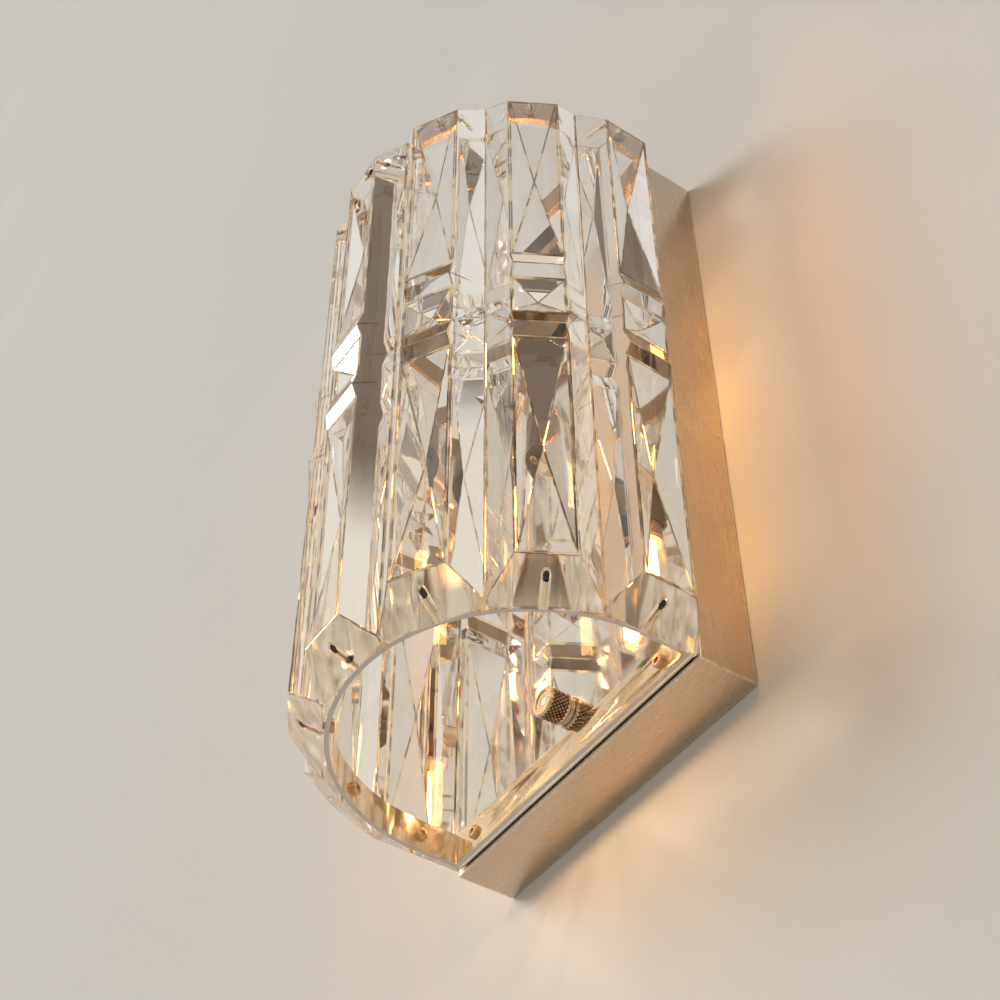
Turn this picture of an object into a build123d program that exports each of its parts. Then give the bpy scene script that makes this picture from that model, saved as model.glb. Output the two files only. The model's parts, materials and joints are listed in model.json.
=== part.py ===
from build123d import *
import os
from math import cos, pi, radians, sin, tan

# Crystal wall sconce, in millimetres.
# X runs along the wall to the right, Y runs into the wall, Z is up.
# The origin is on the wall, behind the middle of the wall box.

# ---- driving dimensions ----

# Wall box: a shallow sheet-metal tray, open towards the wall
box_width = 150.0
box_height = 310.0
box_depth = 25.0
box_wall = 1.2
box_edge_radius = 0.6

# Strap that is screwed to the wall, with one stud near each end
strap_width = 36.0
strap_thickness = 2.0
strap_end_margin = 12.0
strap_corner_radius = 5.0
strap_end_gap = 15.8         # from the strap's top end to the inside of the box
stud_diameter = 4.0
stud_end_below_nut = 0.6
wall_slot_spacing = 120.0
wall_slot_width = 4.6
wall_slot_length = 12.0
cable_hole_diameter = 24.0
lock_nut_flats = 7.0
lock_nut_thickness = 3.2

# Rubber grommet in the strap's cable hole
grommet_bore_diameter = 18.0
grommet_flange_width = 2.5
grommet_flange_thickness = 1.6

# Earth screw beside the cable hole
earth_screw_side = 10.0
earth_screw_drop = 34.0
earth_screw_diameter = 4.0
earth_screw_length = 7.0
earth_washer_diameter = 9.0
earth_washer_thickness = 0.8

# Polished plate behind the shade, on a thin gasket
gasket_thickness = 0.5
gasket_inset = 1.5
plate_thickness = 1.5

# Two D-shaped bands that carry the crystals
band_radius = 72.75
band_thickness = 1.8
band_height = 14.0
band_centre_depth = 45.3     # from the wall to the centre of the round front
band_corner_radius = 1.2
lower_band_rise = 2.0        # bottom edge of the box to bottom edge of the band

# Crystal bars
crystal_count = 7
crystal_length = 318.0
crystal_thickness = 13.3
crystal_front_width = 22.4
crystal_edge_thickness = 2.0
crystal_end_slope = 45.0     # degrees, both ends lean back from the front
crystal_gap = 0.4
crystal_hole_diameter = 3.6
pad_thickness = 0.5
pad_diameter = 8.0

# Cut pattern on the front of each crystal
panel_border = 1.0
panel_depth = 4.0
ridge_offset = 19.25         # from the middle of the bar to each ridge
ridge_height = 15.5
ridge_rise = 1.6
ridge_crest_inset = 1.0
ridge_tip_reach = 5.0

# Small screws
screw_diameter = 3.0
screw_head_diameter = 5.4
screw_head_height = 1.7
screw_socket_diameter = 2.6
screw_socket_depth = 0.9
crystal_screw_grip = 5.5
band_screw_side = 58.0

# Knurled thumb nuts and their washers
nut_diameter = 12.0
nut_height = 9.6
nut_chamfer = 0.8
nut_groove_count = 36
nut_groove_depth = 0.45
nut_recess_diameter = 7.0
nut_recess_depth = 1.0
nut_band_gap = 7.0           # between a nut and the band beside it
washer_diameter = 11.0
washer_thickness = 0.8

# Threaded stem that carries the lamps
stem_diameter = 10.0
stem_bore_diameter = 8.4
stem_tail = 7.0              # behind the box front, inside the box
stem_nut_flats = 14.0
stem_nut_thickness = 4.0
stem_collar_diameter = 20.0
stem_collar_thickness = 5.0
lamp_axis_depth = 62.0       # from the wall to the lamps' axis
hub_diameter = 26.0
hub_height = 18.0
hub_channel_diameter = 6.0

# Lampholders and their fixing screws
holder_flange_thickness = 3.0
holder_body_width = 19.0
holder_body_depth = 11.0
holder_body_height = 15.0
holder_corner_radius = 3.0
holder_recess_depth = 4.0
holder_recess_floor = 2.0
holder_screw_radius = 9.3
holder_screw_diameter = 2.5
holder_screw_head_diameter = 4.2
holder_screw_head_height = 1.4
holder_screw_grip = 5.0

# Lamps: a base with two pins, a light stick and a clear cover
lamp_base_width = 15.0
lamp_base_depth = 7.0
lamp_base_height = 11.0
lamp_pin_spacing = 9.0
lamp_pin_diameter = 1.2
lamp_pin_length = 8.0
lamp_cover_diameter = 14.0
lamp_cover_length = 42.0
lamp_cover_wall = 0.8
lamp_stick_width = 5.0
lamp_stick_end_gap = 7.0

# Terminal block and the lead that runs from it through the stem
terminal_width = 30.0
terminal_depth = 11.0
terminal_height = 17.0
terminal_rise = 28.0         # from the stem's axis to the block's underside
terminal_pole_count = 3
terminal_pole_diameter = 5.0
terminal_pole_depth = 4.0
terminal_screw_height = 2.6
lead_diameter = 3.2
lead_depth = 12.5            # from the wall to the lead where it leaves the block
lead_bend_radius = 9.0
holder_lead_diameter = 2.4

# Clearances
running_clearance = 0.05     # radial, nut on stud
stud_clearance = 0.5         # radial, stud in the box front and the plate
moving_gap = 0.3             # between pieces that move apart
screw_clearance = 0.2        # radial, screw in a plain hole
lamp_clearance = 0.5         # around a lamp's base in its holder
pin_clearance = 0.35         # radial, around a lamp's pins

# ---- places worked out from the dimensions ----

box_front = -box_depth
plate_back = box_front - gasket_thickness
plate_front = plate_back - plate_thickness
band_centre = -band_centre_depth
band_inner_radius = band_radius - band_thickness

crystal_back = band_radius + pad_thickness
crystal_front = crystal_back + crystal_thickness
crystal_pitch = 180.0 / (crystal_count - 1)
end_rise = crystal_thickness / tan(radians(crystal_end_slope))

lower_band_middle = -box_height / 2 + lower_band_rise + band_height / 2
hole_rise = (end_rise + crystal_hole_diameter) / 2
crystal_bottom = lower_band_middle - hole_rise
crystal_top = crystal_bottom + crystal_length
crystal_middle = (crystal_bottom + crystal_top) / 2
upper_band_middle = crystal_top - hole_rise
band_middles = {"lower": lower_band_middle, "upper": upper_band_middle}

plate_bottom = lower_band_middle - band_height / 2
plate_top = upper_band_middle + band_height / 2

washer_front = plate_front - washer_thickness
nut_seat = washer_front - moving_gap
nut_front = nut_seat - nut_height
stud_front = nut_front + stud_end_below_nut
stud_radius = stud_diameter / 2
stud_from_band = band_height / 2 + nut_band_gap + nut_diameter / 2
stud_below_box_top = box_wall + strap_end_gap + strap_end_margin
stud_levels = {
    "lower": lower_band_middle + stud_from_band,
    "upper": min(upper_band_middle - stud_from_band, box_height / 2 - stud_below_box_top),
}

lamp_axis = -lamp_axis_depth
holder_face = hub_height / 2 + holder_flange_thickness + holder_body_height
lamp_seat = holder_face - holder_recess_depth + moving_gap
lamp_sides = {"lower": -1, "upper": 1}


# ---- simple solids ----

def block(x_range, y_range, z_range):
    """A box between two limits on each axis."""
    size = [high - low for low, high in (x_range, y_range, z_range)]
    middle = [(high + low) / 2 for low, high in (x_range, y_range, z_range)]
    return Pos(*middle) * Box(*size)


def bar_along_y(x, z, y_back, y_front, radius):
    """A round bar parallel to Y, from its back to its front."""
    middle = (y_back + y_front) / 2
    return Pos(x, middle, z) * Rot(90, 0, 0) * Cylinder(radius, abs(y_back - y_front))


def bar_along_z(x, y, z_low, z_high, radius):
    """A round bar parallel to Z."""
    return Pos(x, y, (z_low + z_high) / 2) * Cylinder(radius, abs(z_high - z_low))


def hexagon_along_y(x, z, y_back, y_front, flats):
    """A hexagonal bar parallel to Y, measured across its flats."""
    outline = RegularPolygon(flats / 2, 6, major_radius=False)
    return Pos(x, y_back, z) * Rot(90, 0, 0) * extrude(outline, y_back - y_front)


def polyhedron(points, faces):
    """A closed solid from corner points and lists of their numbers."""
    sides = [Face(Wire.make_polygon([points[i] for i in face])) for face in faces]
    return Solid(Shell(sides))


def group(solids):
    """Separate solids kept together in one node."""
    return Compound(children=list(solids))


# ---- wall strap and what is on it ----

def make_wall_strap():
    length = stud_levels["upper"] - stud_levels["lower"] + 2 * strap_end_margin
    middle = (stud_levels["upper"] + stud_levels["lower"]) / 2
    outline = RectangleRounded(strap_width, length, strap_corner_radius)
    strap = Pos(0, 0, middle) * Rot(90, 0, 0) * extrude(outline, strap_thickness)
    slot = Rot(90, 0, 0) * extrude(SlotOverall(wall_slot_length, wall_slot_width, rotation=90), strap_thickness)
    for level in (-wall_slot_spacing / 2, wall_slot_spacing / 2):
        strap -= Pos(0, 0, level) * slot
    for level in stud_levels.values():
        strap -= bar_along_y(0, level, 0, -strap_thickness, stud_radius)
    strap -= bar_along_y(0, 0, 0, -strap_thickness, cable_hole_diameter / 2)
    strap -= bar_along_y(earth_screw_side, -earth_screw_drop, 0, -strap_thickness, earth_screw_diameter / 2)
    return strap


def make_studs():
    back = -moving_gap
    return group(bar_along_y(0, level, back, stud_front, stud_radius) for level in stud_levels.values())


def make_lock_nuts():
    back = -strap_thickness
    front = back - lock_nut_thickness
    nuts = []
    for level in stud_levels.values():
        nut = hexagon_along_y(0, level, back, front, lock_nut_flats)
        nuts.append(nut - bar_along_y(0, level, back, front, stud_radius))
    return group(nuts)


def make_cable_grommet():
    flange_back = -strap_thickness
    flange_front = flange_back - grommet_flange_thickness
    flange_radius = cable_hole_diameter / 2 + grommet_flange_width
    body = bar_along_y(0, 0, 0, flange_back, cable_hole_diameter / 2)
    body += bar_along_y(0, 0, flange_back, flange_front, flange_radius)
    return body - bar_along_y(0, 0, 0, flange_front, grommet_bore_diameter / 2)


def make_earth_washer():
    back = -strap_thickness
    front = back - earth_washer_thickness
    washer = bar_along_y(earth_screw_side, -earth_screw_drop, back, front, earth_washer_diameter / 2)
    return washer - bar_along_y(earth_screw_side, -earth_screw_drop, back, front, earth_screw_diameter / 2)


def make_earth_screw():
    head_back = -strap_thickness - earth_washer_thickness
    head_front = head_back - screw_head_height
    tip = min(head_back + earth_screw_length, -moving_gap)
    head_radius = screw_head_diameter / 2 + 1.0
    screw = bar_along_y(earth_screw_side, -earth_screw_drop, tip, head_back, earth_screw_diameter / 2)
    screw += bar_along_y(earth_screw_side, -earth_screw_drop, head_back, head_front, head_radius)
    slot_half = screw_socket_depth / 2
    slot = block(
        (earth_screw_side - head_radius, earth_screw_side + head_radius),
        (head_front, head_front + screw_socket_depth),
        (-earth_screw_drop - slot_half, -earth_screw_drop + slot_half),
    )
    return screw - slot


# ---- wall box, gasket and polished plate ----

def stud_holes(y_back, y_front):
    radius = stud_radius + stud_clearance
    return [bar_along_y(0, level, y_back, y_front, radius) for level in stud_levels.values()]


def make_back_box():
    outside = block(
        (-box_width / 2, box_width / 2),
        (box_front, 0),
        (-box_height / 2, box_height / 2),
    )
    front_edges = outside.faces().sort_by(Axis.Y)[0].edges()
    outside = fillet(front_edges, min(box_edge_radius, box_wall * 0.8))
    inside = block(
        (-box_width / 2 + box_wall, box_width / 2 - box_wall),
        (box_front + box_wall, 0),
        (-box_height / 2 + box_wall, box_height / 2 - box_wall),
    )
    tray = outside - inside
    for hole in stud_holes(box_front + box_wall, box_front):
        tray -= hole
    return tray - bar_along_y(0, 0, box_front + box_wall, box_front, stem_diameter / 2)


def make_plate_gasket():
    half_width = band_radius - gasket_inset
    bottom = max(plate_bottom, -box_height / 2) + gasket_inset
    top = min(plate_top, box_height / 2) - gasket_inset
    sheet = block((-half_width, half_width), (plate_back, box_front), (bottom, top))
    for hole in stud_holes(box_front, plate_back):
        sheet -= hole
    return sheet - bar_along_y(0, 0, box_front, plate_back, stem_diameter / 2)


def make_mirror_plate():
    plate = block((-band_radius, band_radius), (plate_front, plate_back), (plate_bottom, plate_top))
    for hole in stud_holes(plate_back, plate_front):
        plate -= hole
    for level in band_middles.values():
        for side in (-band_screw_side, band_screw_side):
            plate -= bar_along_y(side, level, plate_back, plate_front, screw_diameter / 2)
    return plate - bar_along_y(0, 0, plate_back, plate_front, stem_diameter / 2)


# ---- bands and their screws ----

def band_outline(radius, back):
    """The D outline of a band: round in front, straight at the back."""
    half = [
        Line((-radius, band_centre), (-radius, back)),
        Line((-radius, back), (radius, back)),
        Line((radius, back), (radius, band_centre)),
        RadiusArc((radius, band_centre), (-radius, band_centre), radius),
    ]
    return make_face(half)


def radial_bar(angle, level, r_start, r_end, radius):
    """A round bar that points away from the bands' centre; angle 0 faces forwards."""
    middle = (r_start + r_end) / 2
    bar = Pos(0, -middle, 0) * Rot(90, 0, 0) * Cylinder(radius, abs(r_end - r_start))
    return Pos(0, band_centre, level) * Rot(0, 0, angle) * bar


def crystal_angles():
    return [-90 + number * crystal_pitch for number in range(crystal_count)]


def make_band(level):
    outer = band_outline(band_radius, plate_front)
    inner = band_outline(band_inner_radius, plate_front - band_thickness)
    ring = Pos(0, 0, level - band_height / 2) * extrude(outer - inner, band_height)
    corners = ring.edges().filter_by(Axis.Z).group_by(Axis.Y)[-1]
    ring = fillet(corners, min(band_corner_radius, band_thickness * 0.8))
    hole_radius = screw_diameter / 2 + screw_clearance
    for angle in crystal_angles():
        ring -= radial_bar(angle, level, band_inner_radius - 1, band_radius + 1, hole_radius)
    for side in (-band_screw_side, band_screw_side):
        ring -= bar_along_y(side, level, plate_front, plate_front - band_thickness, hole_radius)
    return ring


def screw_solid(grip, head_diameter, head_height, shank_diameter):
    """A round-headed screw on Z: head above zero, shank down to minus its grip."""
    head = Pos(0, 0, head_height / 2) * Cylinder(head_diameter / 2, head_height)
    head = fillet(head.edges().sort_by(Axis.Z)[-1], head_height * 0.45)
    shank = Pos(0, 0, -grip / 2) * Cylinder(shank_diameter / 2, grip)
    socket_outline = RegularPolygon(screw_socket_diameter / 2, 6)
    socket = Pos(0, 0, head_height - screw_socket_depth) * extrude(socket_outline, screw_socket_depth)
    return head + shank - socket


def make_band_screws(level):
    grip = band_thickness + plate_thickness
    screw = screw_solid(grip, screw_head_diameter, screw_head_height, screw_diameter)
    seat = plate_front - band_thickness
    return group(
        Pos(side, seat, level) * Rot(90, 0, 0) * screw for side in (-band_screw_side, band_screw_side)
    )


def make_crystal_screws(level):
    grip = band_thickness + pad_thickness + crystal_screw_grip
    screw = screw_solid(grip, screw_head_diameter, screw_head_height, screw_diameter)
    flat_under_head = (band_inner_radius ** 2 - (screw_head_diameter / 2) ** 2) ** 0.5
    seated = Pos(0, -flat_under_head, 0) * Rot(-90, 0, 0) * screw
    return group(
        Pos(0, band_centre, level) * Rot(0, 0, angle) * seated for angle in crystal_angles()
    )


def make_crystal_pads(level):
    pads = []
    for angle in crystal_angles():
        pad = radial_bar(angle, level, band_radius, crystal_back, pad_diameter / 2)
        hole = radial_bar(angle, level, band_radius, crystal_back, screw_diameter / 2 + screw_clearance)
        pads.append(pad - hole)
    return group(pads)


# ---- crystals ----

def crystal_half_width(radius):
    """Half the room that one crystal has beside its neighbour at this radius."""
    half_pitch = radians(crystal_pitch / 2)
    return radius * tan(half_pitch) - crystal_gap / 2 / cos(half_pitch)


def crystal_bar():
    """The plain bar: a trapezoid with leaning ends, facing forwards."""
    edge = crystal_back + crystal_edge_thickness
    half_front = crystal_front_width / 2
    section = [
        (-crystal_half_width(crystal_back), -crystal_back),
        (-crystal_half_width(edge), -edge),
        (-half_front, -crystal_front),
        (half_front, -crystal_front),
        (crystal_half_width(edge), -edge),
        (crystal_half_width(crystal_back), -crystal_back),
    ]
    column = extrude(make_face(Polyline(*section, close=True)), crystal_length)
    side = [
        (-crystal_back, 0),
        (-crystal_front, end_rise),
        (-crystal_front, crystal_length - end_rise),
        (-crystal_back, crystal_length),
    ]
    reach = 2 * crystal_half_width(crystal_front)
    profile = extrude(Plane.YZ * make_face(Polyline(*side, close=True)), reach / 2, both=True)
    return column & profile


def pressed_panel(z_low, z_high):
    """A four-sided hollow: its corners' lines cross at the deepest point."""
    half = crystal_front_width / 2 - panel_border
    face = -crystal_front
    points = [
        (-half, face, z_low),
        (half, face, z_low),
        (half, face, z_high),
        (-half, face, z_high),
        (0, face + panel_depth, (z_low + z_high) / 2),
    ]
    return polyhedron(points, [(0, 1, 2, 3), (0, 1, 4), (1, 2, 4), (2, 3, 4), (3, 0, 4)])


def pointed_ridge(level):
    """A low roof across the front, with pointed ends on the slanted sides."""
    half_front = crystal_front_width / 2
    half_height = ridge_height / 2
    crest = half_front - ridge_crest_inset
    edge = crystal_back + crystal_edge_thickness
    side_run = crystal_half_width(edge) - half_front
    side_fall = crystal_thickness - crystal_edge_thickness
    reach = min(ridge_tip_reach, side_run * 0.9)
    tip_depth = reach * side_fall / side_run
    root = crystal_front - crystal_thickness * 0.7
    points = [
        (-crest, -crystal_front - ridge_rise, level),
        (crest, -crystal_front - ridge_rise, level),
        (-half_front, -crystal_front, level + half_height),
        (half_front, -crystal_front, level + half_height),
        (half_front, -crystal_front, level - half_height),
        (-half_front, -crystal_front, level - half_height),
        (-half_front - reach, -crystal_front + tip_depth, level),
        (half_front + reach, -crystal_front + tip_depth, level),
        (-crest, -root, level),
        (crest, -root, level),
    ]
    faces = [
        (0, 1, 3, 2),
        (1, 0, 5, 4),
        (0, 2, 6),
        (0, 6, 5),
        (1, 7, 3),
        (1, 4, 7),
        (2, 3, 9, 8),
        (4, 5, 8, 9),
        (2, 8, 6),
        (5, 6, 8),
        (3, 7, 9),
        (4, 9, 7),
    ]
    return polyhedron(points, faces)


def make_crystal_blank():
    """One crystal with its cuts and holes, standing in front of the bands' centre."""
    middle = crystal_length / 2
    crystal = crystal_bar()
    for level in (middle - ridge_offset, middle + ridge_offset):
        crystal += pointed_ridge(level)
    ridge_edge = ridge_offset + ridge_height / 2
    panels = [
        (end_rise + panel_border, middle - ridge_edge - panel_border),
        (middle - ridge_offset + ridge_height / 2 + panel_border,
         middle + ridge_offset - ridge_height / 2 - panel_border),
        (middle + ridge_edge + panel_border, crystal_length - end_rise - panel_border),
    ]
    for low, high in panels:
        crystal -= pressed_panel(low, high)
    for level in (hole_rise, crystal_length - hole_rise):
        hole = bar_along_y(0, level, -crystal_back, -crystal_front, crystal_hole_diameter / 2)
        crystal -= hole
    return crystal


def place_crystal(crystal, angle):
    return Pos(0, band_centre, crystal_bottom) * Rot(0, 0, angle) * crystal


# ---- thumb nuts ----

def make_washers():
    washers = []
    for level in stud_levels.values():
        washer = bar_along_y(0, level, plate_front, washer_front, washer_diameter / 2)
        washers.append(washer - bar_along_y(0, level, plate_front, washer_front, stud_radius + stud_clearance))
    return group(washers)


def make_knurled_nut(level):
    outer = nut_diameter / 2
    inner = outer - nut_groove_depth
    step = 2 * pi / nut_groove_count
    outline = []
    for tooth in range(nut_groove_count):
        for share, radius in ((-0.25, outer), (0.1, outer), (0.42, inner)):
            turn = (tooth + share) * step
            outline.append((radius * cos(turn), radius * sin(turn)))
    body = extrude(make_face(Polyline(*outline, close=True)), nut_height)
    rounding = Pos(0, 0, nut_height / 2) * Cylinder(outer, nut_height)
    rounding = chamfer(rounding.edges().filter_by(GeomType.CIRCLE), nut_chamfer)
    body = body & rounding
    body -= Pos(0, 0, nut_height - nut_recess_depth / 2) * Cylinder(nut_recess_diameter / 2, nut_recess_depth)
    body -= Pos(0, 0, nut_height / 2) * Cylinder(stud_radius + running_clearance, nut_height)
    return Pos(0, nut_seat, level) * Rot(90, 0, 0) * body


# ---- stem, hub and lampholders ----

def make_lamp_stem():
    back = box_front + box_wall + stem_tail
    front = lamp_axis + hub_channel_diameter / 2
    stem = bar_along_y(0, 0, back, front, stem_diameter / 2)
    return stem - bar_along_y(0, 0, back, front, stem_bore_diameter / 2)


def make_stem_nut():
    back = box_front + box_wall + stem_nut_thickness
    front = box_front + box_wall
    nut = hexagon_along_y(0, 0, back, front, stem_nut_flats)
    return nut - bar_along_y(0, 0, back, front, stem_diameter / 2)


def make_stem_collar():
    front = plate_front - stem_collar_thickness
    collar = bar_along_y(0, 0, plate_front, front, stem_collar_diameter / 2)
    collar = fillet(collar.edges().group_by(Axis.Y)[0], stem_collar_thickness * 0.2)
    return collar - bar_along_y(0, 0, plate_front, front, stem_diameter / 2)


def holder_screw_places():
    return [(0, lamp_axis - holder_screw_radius), (0, lamp_axis + holder_screw_radius)]


def make_lamp_hub():
    half = hub_height / 2
    hub = bar_along_z(0, lamp_axis, -half, half, hub_diameter / 2)
    hub = chamfer(hub.edges().filter_by(GeomType.CIRCLE), 0.6)
    back = lamp_axis + hub_diameter / 2 + 1
    front = lamp_axis + hub_channel_diameter / 2
    hub -= bar_along_y(0, 0, back, front, stem_diameter / 2)
    hub -= bar_along_y(0, 0, front, lamp_axis, stem_bore_diameter / 2)
    hub -= bar_along_z(0, lamp_axis, -half, half, hub_channel_diameter / 2)
    for x, y in holder_screw_places():
        for side in lamp_sides.values():
            tip = half - holder_screw_grip + holder_flange_thickness
            hub -= bar_along_z(x, y, side * half, side * tip, holder_screw_diameter / 2)
    return hub


def make_lampholder(side):
    flange_top = hub_height / 2
    flange_end = flange_top + holder_flange_thickness
    flange = bar_along_z(0, lamp_axis, side * flange_top, side * flange_end, hub_diameter / 2)
    outline = RectangleRounded(holder_body_width, holder_body_depth, holder_corner_radius)
    body = extrude(outline, holder_body_height)
    recess_width = lamp_base_width + 2 * lamp_clearance
    recess_depth = lamp_base_depth + 2 * lamp_clearance
    recess_low = holder_body_height - holder_recess_depth
    body -= block(
        (-recess_width / 2, recess_width / 2),
        (-recess_depth / 2, recess_depth / 2),
        (recess_low, holder_body_height),
    )
    for pin in (-lamp_pin_spacing / 2, lamp_pin_spacing / 2):
        radius = lamp_pin_diameter / 2 + pin_clearance
        body -= bar_along_z(pin, 0, holder_recess_floor, recess_low, radius)
    body = Pos(0, 0, flange_end) * body
    if side < 0:
        body = Rot(180, 0, 0) * body
    holder = flange + Pos(0, lamp_axis, 0) * body
    holder -= bar_along_z(0, lamp_axis, side * flange_top, side * flange_end, holder_lead_diameter / 2)
    for x, y in holder_screw_places():
        radius = holder_screw_diameter / 2 + screw_clearance
        holder -= bar_along_z(x, y, side * flange_top, side * flange_end, radius)
    return holder


def make_holder_screws():
    screw = screw_solid(
        holder_screw_grip, holder_screw_head_diameter, holder_screw_head_height, holder_screw_diameter
    )
    seat = hub_height / 2 + holder_flange_thickness
    screws = []
    for x, y in holder_screw_places():
        screws.append(Pos(x, y, seat) * screw)
        screws.append(Pos(x, y, -seat) * Rot(180, 0, 0) * screw)
    return group(screws)


# ---- lamps ----

def mirrored_to(side, solid):
    """Turns a piece made pointing up about the lamps' middle when it hangs down."""
    if side < 0:
        solid = Rot(180, 0, 0) * solid
    return Pos(0, lamp_axis, 0) * solid


def make_lamp_base(side):
    outline = RectangleRounded(lamp_base_width, lamp_base_depth, lamp_base_depth * 0.3)
    base = Pos(0, 0, lamp_seat) * extrude(outline, lamp_base_height)
    cover_seat = lamp_seat + lamp_base_height
    base += bar_along_z(0, 0, cover_seat, cover_seat + lamp_cover_wall, lamp_cover_diameter / 2 - lamp_cover_wall)
    return mirrored_to(side, base)


def make_lamp_pins(side):
    pins = []
    for pin in (-lamp_pin_spacing / 2, lamp_pin_spacing / 2):
        pins.append(bar_along_z(pin, 0, lamp_seat - lamp_pin_length, lamp_seat, lamp_pin_diameter / 2))
    return mirrored_to(side, group(pins))


def make_lamp_cover(side):
    radius = lamp_cover_diameter / 2
    seat = lamp_seat + lamp_base_height
    dome = seat + lamp_cover_length - radius
    outside = bar_along_z(0, 0, seat, dome, radius) + Pos(0, 0, dome) * Sphere(radius)
    inner = radius - lamp_cover_wall
    inside = bar_along_z(0, 0, seat, dome, inner) + Pos(0, 0, dome) * Sphere(inner)
    return mirrored_to(side, outside - inside)


def make_lamp_stick(side):
    seat = lamp_seat + lamp_base_height + lamp_cover_wall
    end = lamp_seat + lamp_base_height + lamp_cover_length - lamp_stick_end_gap
    half = lamp_stick_width / 2
    stick = block((-half, half), (-half, half), (seat, end))
    stick = chamfer(stick.edges().filter_by(Axis.Z), lamp_stick_width * 0.15)
    return mirrored_to(side, stick)


# ---- wiring inside the box ----

def terminal_places():
    pitch = terminal_width / terminal_pole_count
    first = -pitch * (terminal_pole_count - 1) / 2
    return [first + pitch * number for number in range(terminal_pole_count)]


def make_terminal_block():
    front = box_front + box_wall
    back = front + terminal_depth
    body = block(
        (-terminal_width / 2, terminal_width / 2),
        (front, back),
        (terminal_rise, terminal_rise + terminal_height),
    )
    body = chamfer(body.edges().filter_by(Axis.Z), 0.8)
    middle = terminal_rise + terminal_height / 2
    for x in terminal_places():
        body -= bar_along_y(x, middle, back, back - terminal_pole_depth, terminal_pole_diameter / 2)
    return body


def make_terminal_screws():
    floor = box_front + box_wall + terminal_depth - terminal_pole_depth
    middle = terminal_rise + terminal_height / 2
    radius = terminal_pole_diameter / 2 - screw_clearance
    return group(
        bar_along_y(x, middle, floor + terminal_screw_height, floor, radius) for x in terminal_places()
    )


def make_lamp_lead():
    """The lead: down from the terminal block, then forwards through the stem."""
    depth = -lead_depth
    end = lamp_axis + holder_lead_diameter / 2
    route = FilletPolyline((0, depth, terminal_rise), (0, depth, 0), (0, end, 0), radius=lead_bend_radius)
    start = Plane((0, depth, terminal_rise), z_dir=(0, 0, -1))
    lead = sweep(start * Circle(lead_diameter / 2), path=route)
    expected = pi * (lead_diameter / 2) ** 2 * route.length
    print("lamp lead bend radius", lead_bend_radius, "length", round(route.length, 1))
    print("lamp lead volume against section times length", round(lead.volume / expected, 4))
    return lead


def make_holder_lead():
    reach = hub_height / 2 + holder_flange_thickness
    return bar_along_z(0, lamp_axis, -reach, reach, holder_lead_diameter / 2)


# ---- all the pieces ----

def make_pieces():
    pieces = {
        "wall_strap": make_wall_strap(),
        "strap_studs": make_studs(),
        "stud_lock_nuts": make_lock_nuts(),
        "cable_grommet": make_cable_grommet(),
        "earth_washer": make_earth_washer(),
        "earth_screw": make_earth_screw(),
        "back_box": make_back_box(),
        "plate_gasket": make_plate_gasket(),
        "mirror_plate": make_mirror_plate(),
        "nut_washers": make_washers(),
        "lamp_stem": make_lamp_stem(),
        "stem_nut": make_stem_nut(),
        "stem_collar": make_stem_collar(),
        "lamp_hub": make_lamp_hub(),
        "holder_screws": make_holder_screws(),
        "terminal_block": make_terminal_block(),
        "terminal_screws": make_terminal_screws(),
        "lamp_lead": make_lamp_lead(),
        "holder_lead": make_holder_lead(),
    }
    for name, level in band_middles.items():
        pieces[name + "_band"] = make_band(level)
        pieces[name + "_band_screws"] = make_band_screws(level)
        pieces[name + "_crystal_screws"] = make_crystal_screws(level)
        pieces[name + "_crystal_pads"] = make_crystal_pads(level)
    for name, level in stud_levels.items():
        pieces[name + "_knurled_nut"] = make_knurled_nut(level)
    for name, side in lamp_sides.items():
        pieces[name + "_lampholder"] = make_lampholder(side)
        pieces[name + "_lamp_base"] = make_lamp_base(side)
        pieces[name + "_lamp_pins"] = make_lamp_pins(side)
        pieces[name + "_lamp_cover"] = make_lamp_cover(side)
        pieces[name + "_lamp_stick"] = make_lamp_stick(side)
    blank = make_crystal_blank()
    for number, angle in enumerate(crystal_angles(), start=1):
        pieces["crystal_" + str(number)] = place_crystal(blank, angle)
    return pieces


os.makedirs("parts", exist_ok=True)
for name, piece in make_pieces().items():
    piece.label = name
    export_step(piece, os.path.join("parts", name + ".step"))
print("band middles", band_middles, "plate", plate_bottom, plate_top)
print("crystals", crystal_bottom, crystal_top, "nut seat", nut_seat, "front", nut_front)
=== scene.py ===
import bpy
import json
import math
from mathutils import Matrix, Vector


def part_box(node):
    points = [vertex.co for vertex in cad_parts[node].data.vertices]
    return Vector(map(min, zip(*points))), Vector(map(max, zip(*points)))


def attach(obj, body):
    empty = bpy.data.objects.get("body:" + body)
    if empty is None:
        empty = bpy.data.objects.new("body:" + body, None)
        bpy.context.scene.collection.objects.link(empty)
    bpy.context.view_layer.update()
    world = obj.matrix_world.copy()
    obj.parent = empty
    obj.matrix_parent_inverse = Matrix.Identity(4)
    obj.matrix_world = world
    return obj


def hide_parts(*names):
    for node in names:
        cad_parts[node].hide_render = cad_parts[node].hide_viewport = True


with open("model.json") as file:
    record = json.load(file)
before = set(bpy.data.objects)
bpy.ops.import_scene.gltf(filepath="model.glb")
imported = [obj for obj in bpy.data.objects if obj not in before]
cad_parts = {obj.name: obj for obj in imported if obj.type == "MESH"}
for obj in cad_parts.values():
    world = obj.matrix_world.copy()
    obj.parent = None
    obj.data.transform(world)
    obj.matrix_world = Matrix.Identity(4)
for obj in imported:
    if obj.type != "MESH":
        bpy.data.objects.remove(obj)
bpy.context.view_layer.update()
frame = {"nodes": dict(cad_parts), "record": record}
nodes = frame["nodes"]
bodyOfNode = {}
for body, members in frame["record"]["behaviour"]["bodies"].items():
    for member in members:
        bodyOfNode[member] = body
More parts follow.
